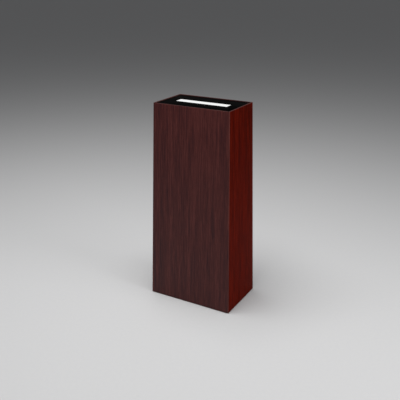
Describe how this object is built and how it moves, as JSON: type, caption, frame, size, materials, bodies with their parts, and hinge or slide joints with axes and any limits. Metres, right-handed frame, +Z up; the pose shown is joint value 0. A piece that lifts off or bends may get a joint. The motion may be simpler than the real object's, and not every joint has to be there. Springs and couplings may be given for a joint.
{
  "type": "display plinth",
  "caption": "Tall flared display plinth in red-brown veneer with a black lift-out top, a flush lit strip, a rear power inlet with switch, and levelling feet.",
  "frame": {"origin": "on the floor, under the middle of the plinth", "axes": "+Z up, front towards -Y, width along X, power inlet on the +Y side"},
  "size_m": [0.4478, 0.2879, 1],
  "materials": {
    "veneer": "satin lacquered red-brown veneer with fine upright grain",
    "softwood": "planed, unfinished",
    "fibreboard": "sawn board, unfinished",
    "yellow_screw": "yellow passivated",
    "black_top": "black acrylic, smooth",
    "opal_light": "opal acrylic, lit from behind",
    "white_tray": "white powder coat",
    "bright_screw": "zinc plated",
    "black_rubber": "moulded",
    "board_white": "white solder resist",
    "chip_yellow": "phosphor",
    "white_plastic": "moulded",
    "driver_metal": "extruded, brushed",
    "black_plastic": "moulded, fine texture",
    "rocker_black": "moulded, smooth",
    "contact_metal": "nickel over brass",
    "lead_black": "flexible sheath",
    "stem_steel": "zinc plated thread"
  },
  "bodies": {
    "root": {"front_panel": "veneer", "back_panel": "veneer", "left_panel": "veneer", "right_panel": "veneer", "corner_block_fl": "softwood", "corner_block_fr": "softwood", "corner_block_bl": "softwood", "corner_block_br": "softwood", "base_cleat_front": "softwood", "base_cleat_back": "softwood", "base_cleat_left": "softwood", "base_cleat_right": "softwood", "ledger_front": "softwood", "ledger_back": "softwood", "ledger_left": "softwood", "ledger_right": "softwood", "tray_rail_left": "softwood", "tray_rail_right": "softwood", "base_board": "fibreboard", "base_screws": "yellow_screw", "ledger_screws": "yellow_screw", "light_tray": "white_tray", "tray_screws": "bright_screw", "board_screws": "bright_screw", "driver_screws": "bright_screw", "inlet_screws": "bright_screw", "tee_nuts": "bright_screw", "tray_grommet": "black_rubber", "inlet_boot": "black_rubber", "led_board": "board_white", "led_chips": "chip_yellow", "board_terminal": "white_plastic", "lead_clips": "white_plastic", "driver_case": "driver_metal", "driver_cap_lower": "black_plastic", "driver_cap_upper": "black_plastic", "inlet_housing": "black_plastic", "inlet_pins": "contact_metal", "mains_lead": "lead_black", "dc_lead": "lead_black"},
    "lid": {"top_plate": "black_top", "diffuser": "opal_light"},
    "rocker": {"rocker": "rocker_black"},
    "pad_fl": {"foot_pad_fl": "black_rubber"},
    "stem_fl": {"foot_stem_fl": "stem_steel"},
    "pad_fr": {"foot_pad_fr": "black_rubber"},
    "stem_fr": {"foot_stem_fr": "stem_steel"},
    "pad_bl": {"foot_pad_bl": "black_rubber"},
    "stem_bl": {"foot_stem_bl": "stem_steel"},
    "pad_br": {"foot_pad_br": "black_rubber"},
    "stem_br": {"foot_stem_br": "stem_steel"}
  },
  "joints": [
    {"name": "lid_lift", "type": "slide", "parent": "root", "child": "lid", "axis": [0, 0, 1], "range_m": [0, 0.06]},
    {"name": "rocker_tip", "type": "hinge", "parent": "root", "child": "rocker", "pos_m": [0, 0.13889, 0.15046], "axis": [1, 0, 0], "range_deg": [0, 20]},
    {"name": "foot_lower_fl", "type": "slide", "parent": "root", "child": "pad_fl", "axis": [0, 0, -1], "range_m": [0, 0.012]},
    {"name": "stem_turn_fl", "type": "hinge", "parent": "pad_fl", "child": "stem_fl", "pos_m": [-0.158, -0.078, 0.003], "axis": [0, 0, -1], "range_deg": [0, 3456.01]},
    {"name": "foot_lower_fr", "type": "slide", "parent": "root", "child": "pad_fr", "axis": [0, 0, -1], "range_m": [0, 0.012]},
    {"name": "stem_turn_fr", "type": "hinge", "parent": "pad_fr", "child": "stem_fr", "pos_m": [0.158, -0.078, 0.003], "axis": [0, 0, -1], "range_deg": [0, 3456.01]},
    {"name": "foot_lower_bl", "type": "slide", "parent": "root", "child": "pad_bl", "axis": [0, 0, -1], "range_m": [0, 0.012]},
    {"name": "stem_turn_bl", "type": "hinge", "parent": "pad_bl", "child": "stem_bl", "pos_m": [-0.158, 0.078, 0.003], "axis": [0, 0, -1], "range_deg": [0, 3456.01]},
    {"name": "foot_lower_br", "type": "slide", "parent": "root", "child": "pad_br", "axis": [0, 0, -1], "range_m": [0, 0.012]},
    {"name": "stem_turn_br", "type": "hinge", "parent": "pad_br", "child": "stem_br", "pos_m": [0.158, 0.078, 0.003], "axis": [0, 0, -1], "range_deg": [0, 3456.01]}
  ],
  "couplings": [
    {"joint": "stem_turn_fl", "follows": "foot_lower_fl", "rad_per_m": 5026.5},
    {"joint": "stem_turn_fr", "follows": "foot_lower_fr", "rad_per_m": 5026.5},
    {"joint": "stem_turn_bl", "follows": "foot_lower_bl", "rad_per_m": 5026.5},
    {"joint": "stem_turn_br", "follows": "foot_lower_br", "rad_per_m": 5026.5}
  ]
}
